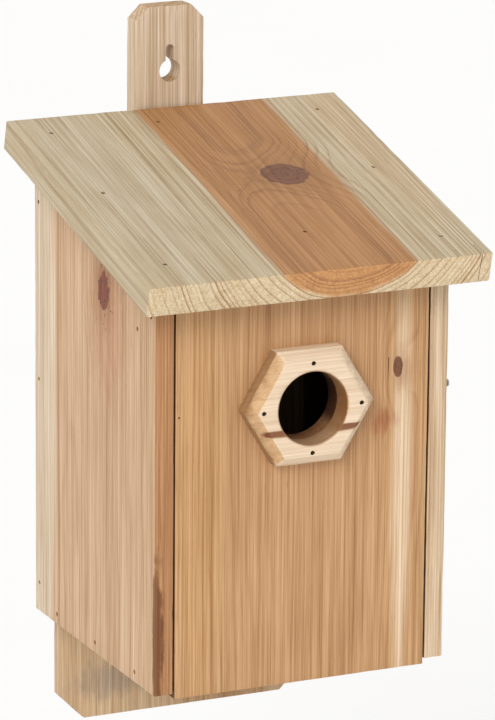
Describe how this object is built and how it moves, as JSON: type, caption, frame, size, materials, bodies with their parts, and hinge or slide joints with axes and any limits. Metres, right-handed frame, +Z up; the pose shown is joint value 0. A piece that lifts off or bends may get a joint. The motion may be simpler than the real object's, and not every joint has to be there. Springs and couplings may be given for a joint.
{
  "type": "birdhouse",
  "caption": "Wall-hung wooden nest box with a sloping roof, round entrance in a hexagonal plate, keyhole hanger batten and a front panel that swings open for cleaning.",
  "frame": {"origin": "centre of the keyhole's round entry, on the back face of the hanger batten, where the box meets the wall", "axes": "+X to the right seen from the front, +Y out of the back towards the wall, +Z up"},
  "size_m": [0.174, 0.1857, 0.3505],
  "materials": {
    "roof_wood": "bare planed softwood, unsealed",
    "side_wood": "bare planed softwood, unsealed",
    "back_wood": "bare planed softwood, unsealed",
    "hanger_wood": "bare planed softwood, unsealed",
    "floor_wood": "bare planed softwood, unsealed",
    "rail_wood": "bare planed softwood, unsealed",
    "front_wood": "bare planed softwood, unsealed",
    "plate_wood": "bare planed softwood, unsealed",
    "nail_steel": "dull wire nail, slightly tarnished"
  },
  "bodies": {
    "box": {"roof_board": "roof_wood", "left_side_panel": "side_wood", "right_side_panel": "side_wood", "back_board": "back_wood", "hanger_batten": "hanger_wood", "batten_spacer": "hanger_wood", "floor_board": "floor_wood", "top_rail": "rail_wood", "roof_left_nails": "nail_steel", "roof_right_nails": "nail_steel", "roof_back_nail": "nail_steel", "roof_rail_nail": "nail_steel", "left_back_nails": "nail_steel", "right_back_nails": "nail_steel", "left_floor_nails": "nail_steel", "right_floor_nails": "nail_steel", "rear_floor_nails": "nail_steel", "left_rail_nail": "nail_steel", "right_rail_nail": "nail_steel", "hanger_nails": "nail_steel", "left_pivot_nail": "nail_steel", "right_pivot_nail": "nail_steel"},
    "front_door": {"front_panel": "front_wood", "entrance_plate": "plate_wood", "entrance_plate_nails": "nail_steel"},
    "latch": {"latch_nail": "nail_steel"}
  },
  "joints": [
    {"name": "front_swing", "type": "hinge", "parent": "box", "child": "front_door", "pos_m": [0, -0.16, -0.0805], "axis": [-1, 0, 0], "range_deg": [0, 68]},
    {"name": "latch_pull", "type": "slide", "parent": "box", "child": "latch", "axis": [1, 0, 0], "range_m": [0, 0.009]}
  ]
}
